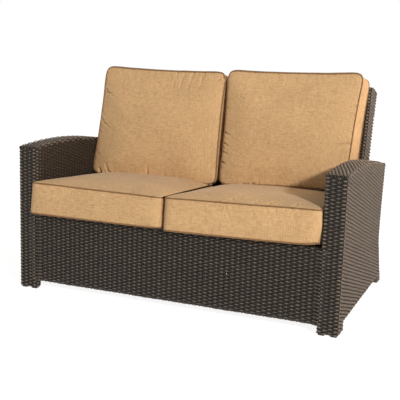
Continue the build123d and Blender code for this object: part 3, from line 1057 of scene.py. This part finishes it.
# Piping is looked for from a little outside the seam, and evened out this often
PIPING_REACH, PIPING_EVENING = 1.02, 3
# How firmly a pad is filled, and how dark the piping's dark threads are
PAD_FILL, PIPING_SHADE = 0.85, 0.6


def cushion_axes(kind):
    """Rows that turn the frame's axes into a cushion's own: width, depth or height, thickness."""
    profile = sizes("profile")
    if kind == "seat":
        lean = profile.deck_slope
        deep, thick = (math.cos(lean), -math.sin(lean)), (math.sin(lean), math.cos(lean))
    else:
        lean = profile.recline
        deep, thick = (math.sin(lean), math.cos(lean)), (-math.cos(lean), math.sin(lean))
    return np.array([(1, 0, 0), (0, *deep), (0, *thick)])


def node_points(name):
    """The vertices of a CAD node."""
    mesh = NODES[name].data
    points = np.empty(len(mesh.vertices) * 3)
    mesh.vertices.foreach_get("co", points)
    return points.reshape(-1, 3)


class CushionForm:
    """Size and place of one cushion, read from its CAD solids."""

    def __init__(self, kind, side):
        sewing = sizes("cushions")
        self.kind = kind
        self.side = dict(SIDES)[side]
        self.body = f"{kind}_cushion_{side}"
        self.axes = cushion_axes(kind)
        welts = node_points(f"{self.body}_welts") @ self.axes.T
        low, high = welts.min(axis=0), welts.max(axis=0)
        self.centre = (low + high) / 2
        self.width, self.depth, self.boxing = (high - low) - 2 * sewing.welt_radius
        cover = node_points(f"{self.body}_cover") @ self.axes.T - self.centre
        self.low, self.high = cover.min(axis=0), cover.max(axis=0)
        self.corner = sewing.seat_corner if kind == "seat" else sewing.back_corner
        self.pull = sewing.seat_pull if kind == "seat" else sewing.back_pull
        self.cap = sewing.seat_cap if kind == "seat" else sewing.back_cap

    def lie(self, points):
        """Points where the cushion really lies: each corner shifted, and the rest in between."""
        half = np.array([self.width, self.depth, self.boxing]) / 2
        shares = np.clip(points / half, -1, 1) / 2 + 0.5
        moved = points.copy()
        for corner, offset in CORNER_OFFSETS[self.body].items():
            weight = np.prod(np.where(np.array(corner) > 0, shares, 1 - shares), axis=1)
            moved += weight[:, None] * np.array(offset) * MILLIMETRE
        if self.kind == "back":
            rise = np.clip((points[:, 2] - half[2]) / (self.high[2] - half[2]), 0, 1)
            moved[:, 1] -= sizes("cushions").back_sag * rise
        for corner, reach, offset in DENTS.get(self.body, ()):
            away = np.linalg.norm(points - half * corner, axis=1)
            moved += np.exp(-((away / reach) ** 2))[:, None] * np.array(offset) * MILLIMETRE
        return moved

    def place(self, points):
        """Points in the frame, from points of the cushion's own axes."""
        return (points + self.centre) @ self.axes

    def unplace(self, points):
        """Points of the cushion's own axes, from points in the frame."""
        return points @ self.axes.T - self.centre

    def seam(self):
        """The seam line, as 2-D points."""
        inset = 2 * sizes("cushions").seam_inset
        return seam_points(self.width - inset, self.depth - inset, self.corner, self.pull)


def seam_points(width, depth, corner, pull, count=240):
    """A seam line: rounded corners, and sides drawn in between them."""
    x, y = width / 2, depth / 2
    line = []
    corners = ((x, y), (-x, y), (-x, -y), (x, -y))
    for quarter, place in enumerate(corners):
        centre = np.array([part - math.copysign(corner, part) for part in place])
        for step in range(CORNER_STEPS + 1):
            angle = math.pi / 2 * (quarter + step / CORNER_STEPS)
            line.append(centre + corner * np.array([math.cos(angle), math.sin(angle)]))
    line.append(line[0])
    line = Line(line)
    points = line.place(np.linspace(0, line.length, count, endpoint=False))
    shares = np.clip(np.abs(points) / (x, y), 0, 1)
    near_side = np.clip((np.abs(points) - np.array([x, y]) + corner) / corner, 0, 1)
    drawn = pull * (1 - shares[:, ::-1] ** 2) * near_side
    return points - np.sign(points) * drawn


def loft(name, rings):
    """A closed mesh through rings of equally many points."""
    count = len(rings[0])
    points = np.concatenate(rings)
    index = np.arange(len(points)).reshape(len(rings), count)
    turned = np.roll(index, -1, axis=1)
    quads = np.stack([index[:-1], turned[:-1], turned[1:], index[1:]], axis=-1).reshape(-1, 4)
    faces = quads.tolist() + [index[0, ::-1].tolist(), index[-1].tolist()]
    mesh = bpy.data.meshes.new(name)
    mesh.from_pydata(points.tolist(), [], faces)
    piece = bpy.data.objects.new(name, mesh)
    bpy.context.scene.collection.objects.link(piece)
    return piece


def apply_modifiers(piece):
    """Bakes a piece's modifiers into its mesh."""
    graph = bpy.context.evaluated_depsgraph_get()
    mesh = bpy.data.meshes.new_from_object(piece.evaluated_get(graph))
    old = piece.data
    piece.modifiers.clear()
    piece.data = mesh
    bpy.data.meshes.remove(old)


def mesh_points(piece):
    """The places of a mesh's points."""
    points = np.empty(len(piece.data.vertices) * 3)
    piece.data.vertices.foreach_get("co", points)
    return points.reshape(-1, 3)


def set_mesh_points(piece, points):
    """Moves a mesh's points."""
    piece.data.vertices.foreach_set("co", points.ravel())
    piece.data.update()


def pad_start(form):
    """The cut shape of a cushion before it is inflated, in its own axes."""
    seam = form.seam()
    half = form.boxing / 2
    front = FRONT_CROWN * (form.high[2] - half)
    rear = REAR_CROWN * (-half - form.low[2])
    angles = np.linspace(FIRST_RING, 1, CROWN_RINGS) * math.pi / 2
    scales, rises = np.sin(angles) ** RING_POWER, np.cos(angles)
    sections = [(scale, -half - rear * rise) for scale, rise in zip(scales, rises)]
    sections += [(1.0, 0.0)]
    sections += [(scale, half + front * rise) for scale, rise in zip(scales[::-1], rises[::-1])]
    return [np.column_stack([seam * scale, np.full(len(seam), height)]) for scale, height in sections]


def nearest_seam(form, points, level):
    """For each point, the seam point nearest to it and how far away that is."""
    seam = form.seam()
    tree = KDTree(len(seam))
    for index, (x, y) in enumerate(seam):
        tree.insert((x, y, level), index)
    tree.balance()
    found = [tree.find(point) for point in points]
    return np.array([item[1] for item in found]), np.array([item[2] for item in found])


def evened(piece, values, times):
    """Values at a mesh's points, each drawn towards its neighbours' mean, several times."""
    edges = np.empty(len(piece.data.edges) * 2, int)
    piece.data.edges.foreach_get("vertices", edges)
    ends = np.concatenate([edges.reshape(-1, 2), edges.reshape(-1, 2)[:, ::-1]])
    count = np.bincount(ends[:, 0], minlength=len(values))[:, None]
    for _ in range(times):
        totals = [np.bincount(ends[:, 0], column[ends[:, 1]], len(values)) for column in values.T]
        values = (values + np.stack(totals, axis=1) / count) / 2
    return values


def inflate(pad, form):
    """Swells a pad as filled cloth that is sewn fast along its two seams."""
    sewing = sizes("cushions")
    start = mesh_points(pad)
    half = form.boxing / 2
    group = pad.vertex_groups.new(name="seams")
    for level in (-half, half):
        away = nearest_seam(form, start, level)[1]
        near = np.nonzero(away < sewing.voxel)[0]
        group.add(near.tolist(), 1.0, "ADD")
    cloth = pad.modifiers.new("cloth", "CLOTH")
    settings = cloth.settings
    for name, value in CLOTH.items():
        setattr(settings, name, value)
    settings.uniform_pressure_force = sewing.pressure
    settings.shrink_min = -sewing.spare_cloth
    settings.effector_weights.gravity = 0
    settings.vertex_group_mass = "seams"
    cloth.collision_settings.use_collision = False
    cloth.point_cache.frame_start = 1
    cloth.point_cache.frame_end = sewing.frames
    for frame in range(1, sewing.frames + 1):
        bpy.context.scene.frame_set(frame)
    apply_modifiers(pad)
    moved = evened(pad, mesh_points(pad) - start, sewing.evening)
    far = np.linalg.norm(moved, axis=1)
    share_left = form.cap / np.maximum(far, form.cap)
    set_mesh_points(pad, start + moved * share_left[:, None])
    bpy.context.scene.frame_set(1)


def subdivide(piece):
    """One level of subdivision, kept in the mesh."""
    piece.modifiers.new("subdivision", "SUBSURF").levels = 1
    apply_modifiers(piece)


def pucker(pad, form, puckers):
    """Creases that run in from the front seam, where the sewing gathers the cloth.

    Each is where it starts on the seam, its depth, its width, its length and its slant.
    """
    points = mesh_points(pad)
    level = form.boxing / 2
    seam = form.seam()
    index, away = nearest_seam(form, points, level)
    line = Line(np.vstack([seam, seam[:1]]))
    along = line.marks[index]
    inward = np.where(points[:, 2] > level - CREASE_START, 1.0, BEHIND_SEAM)
    depth = np.zeros(len(points))
    for (x, y), deep, wide, long, slant in puckers:
        start = np.argmin(np.linalg.norm(seam - (x, y), axis=1))
        offset = along - line.marks[start] - slant * away
        offset = (offset + line.length / 2) % line.length - line.length / 2
        fade = np.exp(-((away / long) ** 2)) * np.clip(away / CREASE_START, 0, 1)
        depth += deep * np.exp(-((offset / wide) ** 2)) * fade
        for ridge in (-RIDGE_AWAY, RIDGE_AWAY):
            depth -= RIDGE_HEIGHT * deep * np.exp(-((offset / wide + ridge) ** 2)) * fade
    normals = np.empty(len(points) * 3)
    pad.data.vertices.foreach_get("normal", normals)
    normals = normals.reshape(-1, 3)
    depth *= inward * sizes("cushions").crease_depth
    set_mesh_points(pad, points - normals * depth[:, None])


def gathers(form):
    """Small gathers all along the front seam, unevenly deep."""
    seam = form.seam()
    chance = np.random.default_rng(len(form.body))
    step = max(round(GATHER_SPACING / (2 * (form.width + form.depth) / len(seam))), 1)
    small = []
    for index in range(0, len(seam), step):
        place = tuple(seam[(index + chance.integers(0, step)) % len(seam)])
        size, *others = (chance.uniform(least, most) for least, most in GATHER_RANGES)
        small.append((place, GATHER_DEPTH * size, *others))
    return small


def swell_past_arm(form, points):
    """In front of the arms, the outer end of a seat cushion swells sideways."""
    ahead = np.clip((FRONT - points[:, 1]) / SWELL_LENGTH, 0, 1)
    outer = np.clip(1 - (1 - form.side * points[:, 0] / POST_LOW.x) / SWELL_SHARE, 0, 1)
    points[:, 0] += form.side * sizes("cushions").arm_bulge * ahead * (2 - ahead) * outer


def press_flat(form, points, gap):
    """Presses a cushion, in the frame, flat on its neighbour, the arm and what it rests on."""
    sewing = sizes("cushions")
    if form.kind == "seat":
        joint = sewing.seat_joint
    else:
        middle = form.place(np.zeros((1, 3)))[0, 2]
        joint = sewing.back_joint + sewing.joint_lean * (points[:, 2] - middle)
    outer = form.side * points[:, 0]
    outer = np.maximum(outer, form.side * joint + gap)
    beside_arm = points[:, 1] > FRONT - gap
    outer = np.where(beside_arm, np.minimum(outer, POST_LOW.x - 2 * gap), outer)
    points[:, 0] = form.side * outer
    own = form.unplace(points)
    overhangs = points[:, 1] < APRON_LOW.y - 2 * sizes("weave").corner
    low = form.low[2] + gap / 2
    own[:, 2] = np.where(overhangs, own[:, 2], np.maximum(own[:, 2], low))
    return form.place(own)


def cord_mesh(name, loops, radius, sides=8):
    """Closed round cords along loops of 3-D points, as one mesh."""
    vertices = []
    faces = []
    for loop in loops:
        along = np.roll(loop, -1, axis=0) - np.roll(loop, 1, axis=0)
        along /= np.linalg.norm(along, axis=1)[:, None]
        middle = loop.mean(axis=0)
        out = loop - middle
        out -= along * (out * along).sum(axis=1)[:, None]
        out /= np.linalg.norm(out, axis=1)[:, None]
        side = np.cross(along, out)
        angles = np.arange(sides) / sides * 2 * math.pi
        cosines, sines = np.cos(angles)[:, None], np.sin(angles)[:, None]
        ring = loop[:, None] + radius * (out[:, None] * cosines + side[:, None] * sines)
        base = sum(len(part) for part in vertices)
        index = base + np.arange(len(loop) * sides).reshape(len(loop), sides)
        turned = np.roll(index, -1, axis=1)
        ahead = np.roll(index, -1, axis=0)
        ahead_turned = np.roll(turned, -1, axis=0)
        faces += np.stack([index, turned, ahead_turned, ahead], axis=-1).reshape(-1, 4).tolist()
        vertices.append(ring.reshape(-1, 3))
    mesh = bpy.data.meshes.new(name)
    mesh.from_pydata(np.concatenate(vertices).tolist(), [], faces)
    mesh.polygons.foreach_set("use_smooth", np.ones(len(faces), bool))
    piece = bpy.data.objects.new(name, mesh)
    bpy.context.scene.collection.objects.link(piece)
    return piece


def piping(form, pad):
    """Piping along both seams of a finished pad, lying on its cloth."""
    sewing = sizes("cushions")
    tree = BVHTree.FromObject(pad, bpy.context.evaluated_depsgraph_get())
    loops = []
    for level in (-form.boxing / 2, form.boxing / 2):
        loop = []
        for x, y in form.seam():
            outside = PIPING_REACH * Vector((x, y, level))
            place, normal, _, _ = tree.find_nearest(outside)
            loop.append(np.array(place + normal * sewing.piping_radius * sewing.piping_sink))
        loop = np.array(loop)
        for _ in range(PIPING_EVENING):
            loop = (np.roll(loop, 1, axis=0) + 2 * loop + np.roll(loop, -1, axis=0)) / 4
        loops.append(loop)
    return cord_mesh(f"{form.body}_piping", loops, sewing.piping_radius)


def sew_cushion(kind, side, puckers):
    """A pad and its piping, in place."""
    form = CushionForm(kind, side)
    pad = loft(f"{form.body}_pad", pad_start(form))
    remesh = pad.modifiers.new("remesh", "REMESH")
    remesh.mode = "VOXEL"
    remesh.voxel_size = sizes("cushions").voxel
    apply_modifiers(pad)
    inflate(pad, form)
    subdivide(pad)
    small = gathers(form) if kind == "back" else []
    pucker(pad, form, small + puckers)
    cord = piping(form, pad)
    for piece, gap in ((pad, PAD_GAP), (cord, CORD_GAP)):
        points = form.place(form.lie(mesh_points(piece)))
        if kind == "seat":
            swell_past_arm(form, points)
        set_mesh_points(piece, press_flat(form, points, gap))
        piece.data.polygons.foreach_set("use_smooth", np.ones(len(piece.data.polygons), bool))
    return pad, cord


OPERATORS = []


def operator(kind):
    """Lists an operator for the panel and the main function."""
    OPERATORS.append(kind)
    return kind


def both_sides(name, maker, node):
    """The left and right pieces of a skin, each standing for its own node."""
    strands = Strands()
    maker(strands)
    for side, sign in SIDES:
        piece = strands.build(f"{name}_{side}", mirrored=sign < 0)
        finish_piece(piece, resin_material(), "frame", [f"{node}_{side}"])


def one_piece(name, maker, node):
    """A skin that crosses the whole seat."""
    strands = Strands()
    maker(strands)
    finish_piece(strands.build(name), resin_material(), "frame", [node])


@operator
class LOVESEAT_OT_arms(bpy.types.Operator):
    """Weave the skins of both arms"""

    bl_idname = "loveseat.arms"
    bl_label = "Weave arms"

    def execute(self, context):
        both_sides("arm_front_strands", arm_front, "arm_front_wrap")
        both_sides("arm_outer_strands", arm_outer, "arm_outer_panel")
        both_sides("arm_inner_strands", arm_inner, "arm_inner_panel")
        both_sides("arm_rear_strands", arm_rear, "arm_rear_wrap")
        both_sides("arm_top_strands", arm_top, "arm_top_weave")
        return {"FINISHED"}


@operator
class LOVESEAT_OT_body(bpy.types.Operator):
    """Weave the apron, the back and the seat deck"""

    bl_idname = "loveseat.body"
    bl_label = "Weave seat and back"

    def execute(self, context):
        one_piece("apron_strands", apron, "apron_weave")
        one_piece("back_front_strands", back_front, "back_front_weave")
        one_piece("back_rear_strands", back_rear, "back_rear_weave")
        one_piece("back_top_strands", back_top, "back_top_weave")
        one_piece("seat_deck_straps", deck, "seat_deck")
        both_sides("back_end_strands", back_end, "back_end_weave")
        return {"FINISHED"}


@operator
class LOVESEAT_OT_tubes(bpy.types.Operator):
    """Powder coat the frame tubes and mould the glides"""

    bl_idname = "loveseat.tubes"
    bl_label = "Coat tubes"

    def execute(self, context):
        colours = sizes("colours")
        coat = coat_material("powder_coat", tuple(colours.powder_coat), 0.45)
        glide = coat_material("glide_plastic", tuple(colours.glide), 0.6)
        for name, node in NODES.items():
            if node.get("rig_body") == "frame" and node.type == "MESH":
                for index in range(len(node.material_slots)):
                    node.material_slots[index].material = glide if name == "foot_glides" else coat
        return {"FINISHED"}


# Deep creases that the photograph shows: place on the front seam, depth, width, length, slant
PUCKERS = {
    "seat_cushion_left": [
        ((0.24, -0.28), 0.0015, 0.006, 0.05, 0.3),
    ],
    "seat_cushion_right": [
        ((-0.06, -0.28), 0.003, 0.006, 0.07, 0.5),
        ((0.04, -0.28), 0.0022, 0.005, 0.05, 0.5),
        ((0.095, -0.28), 0.003, 0.005, 0.07, 0.5),
        ((0.123, -0.28), 0.0022, 0.005, 0.05, 0.5),
        ((0.192, -0.28), 0.003, 0.006, 0.06, 0.4),
    ],
    "back_cushion_left": [
        ((0.06, 0.23), 0.003, 0.005, 0.05, 0.2),
        ((0.10, 0.23), 0.003, 0.005, 0.06, 0.2),
        ((0.143, 0.23), 0.003, 0.006, 0.05, 0.3),
        ((0.19, 0.23), 0.003, 0.006, 0.05, 0.3),
        ((0.27, 0.21), 0.004, 0.007, 0.06, 0),
        ((-0.29, 0.14), 0.003, 0.006, 0.05, 0.3),
        ((-0.29, 0.0), 0.003, 0.006, 0.05, 0.3),
        ((-0.24, -0.23), 0.004, 0.007, 0.06, -0.3),
        ((-0.20, -0.23), 0.004, 0.006, 0.06, -0.3),
        ((-0.02, -0.23), 0.003, 0.006, 0.05, 0),
    ],
    "back_cushion_right": [
        ((-0.29, -0.02), 0.003, 0.004, 0.05, 0.1),
        ((-0.29, -0.06), 0.003, 0.004, 0.05, 0.1),
        ((-0.29, -0.10), 0.003, 0.004, 0.05, -0.1),
        ((-0.29, -0.14), 0.003, 0.004, 0.04, -0.1),
        ((0.29, -0.05), 0.003, 0.007, 0.05, 0.2),
        ((0.29, 0.1), 0.002, 0.006, 0.05, 0.2),
    ],
}


# How the photographed cushions lie: how far their corners are from the frame's, in millimetres.
# A corner is given by its sides of the cushion's own axes: width, depth or height, thickness.
CORNER_OFFSETS = {
    "seat_cushion_left": {
        (-1, -1, 1): (-10, -10, 4),
        (-1, -1, -1): (-13, -10, -5),
        (1, -1, 1): (-13, -8, 0),
        (1, -1, -1): (-14, -8, -2),
        (-1, 1, 1): (0, 0, -4),
    },
    "seat_cushion_right": {
        (-1, -1, 1): (-27, -14, 2),
        (-1, -1, -1): (-29, -14, -7),
        (1, -1, 1): (2, -10, 20),
        (1, -1, -1): (2, -10, 9),
        (1, 1, 1): (0, 0, 3),
        (1, 1, -1): (0, 0, 3),
    },
    "back_cushion_left": {
        (-1, 1, 1): (8, 8, 0),
        (-1, 1, -1): (7, 6, 0),
        (1, 1, 1): (9, 7, 0),
        (1, 1, -1): (7, 6, 0),
        (-1, -1, 1): (-10, -15, 0),
        (1, -1, 1): (15, -15, 0),
        (1, -1, -1): (12, 0, 0),
    },
    "back_cushion_right": {
        (-1, 1, 1): (-1, 17, 0),
        (-1, 1, -1): (-1, 16, 0),
        (1, 1, 1): (6, 32, 0),
        (1, 1, -1): (10, 31, 0),
        (-1, -1, 1): (12, -10, 0),
        (-1, -1, -1): (12, 0, 0),
        (1, -1, 1): (-20, 13, 0),
        (1, -1, -1): (-4, 14, 0),
    },
}


# Places near a corner that are pushed in: the corner, how far round it, and how far in millimetres
DENTS = {
    "seat_cushion_right": [((1, -1, -1), 0.035, (-18, 3, 8))],
    "seat_cushion_left": [((1, -1, -1), 0.03, (-7, 2, 3))],
}


@operator
class LOVESEAT_OT_cushions(bpy.types.Operator):
    """Sew the four cushions"""

    bl_idname = "loveseat.cushions"
    bl_label = "Sew cushions"

    def execute(self, context):
        colours = sizes("colours")
        shades = (tuple(colours.fabric), tuple(colours.fabric_shade))
        fabric = fabric_material("cushion_fabric", *shades)
        piping_dark = tuple(part * PIPING_SHADE for part in colours.piping)
        piping_cloth = fabric_material("piping_fabric", tuple(colours.piping), piping_dark)
        for kind in ("seat", "back"):
            for side, _ in SIDES:
                body = f"{kind}_cushion_{side}"
                pad, cord = sew_cushion(kind, side, PUCKERS[body])
                finish_piece(pad, fabric, body, [f"{body}_cover", f"{body}_core"])
                finish_piece(cord, piping_cloth, body, [f"{body}_welts"])
        return {"FINISHED"}


def camera_matrix():
    """Where the camera stands and how it is turned."""
    studio = sizes("studio")
    level = Vector((-math.sin(studio.yaw), math.cos(studio.yaw), 0))
    ahead = level * math.cos(studio.pitch) - Vector((0, 0, math.sin(studio.pitch)))
    right = ahead.cross(Vector((0, 0, 1))).normalized()
    up = right.cross(ahead)
    turn = Matrix.Rotation(studio.roll, 3, ahead)
    axes = Matrix((turn.inverted() @ right, turn.inverted() @ up, -ahead)).transposed()
    return Matrix.Translation(studio.camera_place) @ axes.to_4x4()


@operator
class LOVESEAT_OT_stage(bpy.types.Operator):
    """Set up the floor, the light and the camera"""

    bl_idname = "loveseat.stage"
    bl_label = "Set up studio"

    def execute(self, context):
        studio = sizes("studio")
        scene = context.scene
        scene.view_settings.view_transform = "Standard"
        camera = bpy.data.objects.new("camera", bpy.data.cameras.new("camera"))
        camera.data.lens = studio.lens
        camera.data.sensor_width = studio.sensor
        camera.matrix_world = camera_matrix()
        scene.collection.objects.link(camera)
        scene.camera = camera
        white_floor()
        white_world(studio.sky_strength, studio.sky_colour)
        for name in ("key", "side"):
            area_lamp(name)
        return {"FINISHED"}


# The floor's grey as light finds it, its grey as the camera finds it, and its glow to the camera
FLOOR_LIGHT, FLOOR_SEEN, FLOOR_GLOW = 0.85, 0.3, 0.9


def seen_directly(nodes, links):
    """1 for what the camera, a mirror or glass sees."""
    path = nodes.new("ShaderNodeLightPath")
    total = path.outputs["Is Camera Ray"]
    for name in ("Is Glossy Ray", "Is Transmission Ray"):
        add = nodes.new("ShaderNodeMath")
        add.operation = "MAXIMUM"
        links.new(total, add.inputs[0])
        links.new(path.outputs[name], add.inputs[1])
        total = add.outputs["Value"]
    return total


def white_floor():
    """A plain pale floor that keeps a soft shadow."""
    mesh = bpy.data.meshes.new("floor")
    form = bmesh.new()
    bmesh.ops.create_grid(form, x_segments=8, y_segments=8, size=sizes("studio").floor_half)
    form.to_mesh(mesh)
    form.free()
    floor = bpy.data.objects.new("floor", mesh)
    bpy.context.scene.collection.objects.link(floor)
    material = bpy.data.materials.new("floor_white")
    material.use_nodes = True
    nodes, links = material.node_tree.nodes, material.node_tree.links
    nodes.clear()
    output = nodes.new("ShaderNodeOutputMaterial")
    seen = seen_directly(nodes, links)
    diffuse = nodes.new("ShaderNodeBsdfDiffuse")
    tint = choice(nodes, links, seen, (FLOOR_LIGHT,) * 3, (FLOOR_SEEN,) * 3)
    links.new(tint, diffuse.inputs["Color"])
    white = nodes.new("ShaderNodeMath")
    white.operation = "MULTIPLY"
    white.inputs[1].default_value = FLOOR_GLOW
    links.new(seen, white.inputs[0])
    glow = nodes.new("ShaderNodeEmission")
    links.new(white.outputs["Value"], glow.inputs["Strength"])
    both = nodes.new("ShaderNodeAddShader")
    links.new(diffuse.outputs["BSDF"], both.inputs[0])
    links.new(glow.outputs["Emission"], both.inputs[1])
    links.new(both.outputs["Shader"], output.inputs["Surface"])
    mesh.materials.append(material)


def white_world(strength, tint):
    """White all round: plain to the camera, softer and tinted as light."""
    world = bpy.data.worlds.new("studio")
    bpy.context.scene.world = world
    world.use_nodes = True
    nodes, links = world.node_tree.nodes, world.node_tree.links
    light = [strength * part for part in tint]
    mixed = choice(nodes, links, seen_directly(nodes, links), light, (1, 1, 1))
    links.new(mixed, nodes["Background"].inputs["Color"])


def area_lamp(name):
    """A soft lamp turned to the middle of the seat."""
    studio = sizes("studio")
    lamp = bpy.data.lights.new(name, "AREA")
    lamp.energy = getattr(studio, f"{name}_power")
    lamp.size = getattr(studio, f"{name}_size")
    lamp.color = getattr(studio, f"{name}_colour")
    holder = bpy.data.objects.new(name, lamp)
    stands = Vector(getattr(studio, f"{name}_place"))
    aim = Vector((0, 0, studio.aim_height)) - stands
    turn = aim.to_track_quat("-Z", "Y").to_matrix().to_4x4()
    holder.matrix_world = Matrix.Translation(stands) @ turn
    holder.visible_camera = False
    bpy.context.scene.collection.objects.link(holder)


class LOVESEAT_PT_panel(bpy.types.Panel):
    """Lists the steps of the dressing"""

    bl_label = "Loveseat"
    bl_idname = "LOVESEAT_PT_panel"
    bl_space_type = "VIEW_3D"
    bl_region_type = "UI"
    bl_category = "Loveseat"

    def draw(self, context):
        for kind in OPERATORS:
            self.layout.operator(kind.bl_idname)


GROUPS = {
    "profile": LoveseatProfile,
    "weave": LoveseatWeave,
    "cushions": LoveseatCushions,
    "colours": LoveseatColours,
    "studio": LoveseatStudio,
}


def register():
    """Adds the settings, the steps and the panel."""
    for name, group in GROUPS.items():
        bpy.utils.register_class(group)
        setattr(bpy.types.Scene, f"loveseat_{name}", PointerProperty(type=group))
    for kind in (*OPERATORS, LOVESEAT_PT_panel):
        bpy.utils.register_class(kind)


def unregister():
    """Takes them away again."""
    for kind in reversed((*OPERATORS, LOVESEAT_PT_panel)):
        bpy.utils.unregister_class(kind)
    for name, group in GROUPS.items():
        delattr(bpy.types.Scene, f"loveseat_{name}")
        bpy.utils.unregister_class(group)


def main():
    """Runs every step."""
    register()
    for kind in OPERATORS:
        section, name = kind.bl_idname.split(".")
        getattr(getattr(bpy.ops, section), name)()


if __name__ == "__main__":
    main()
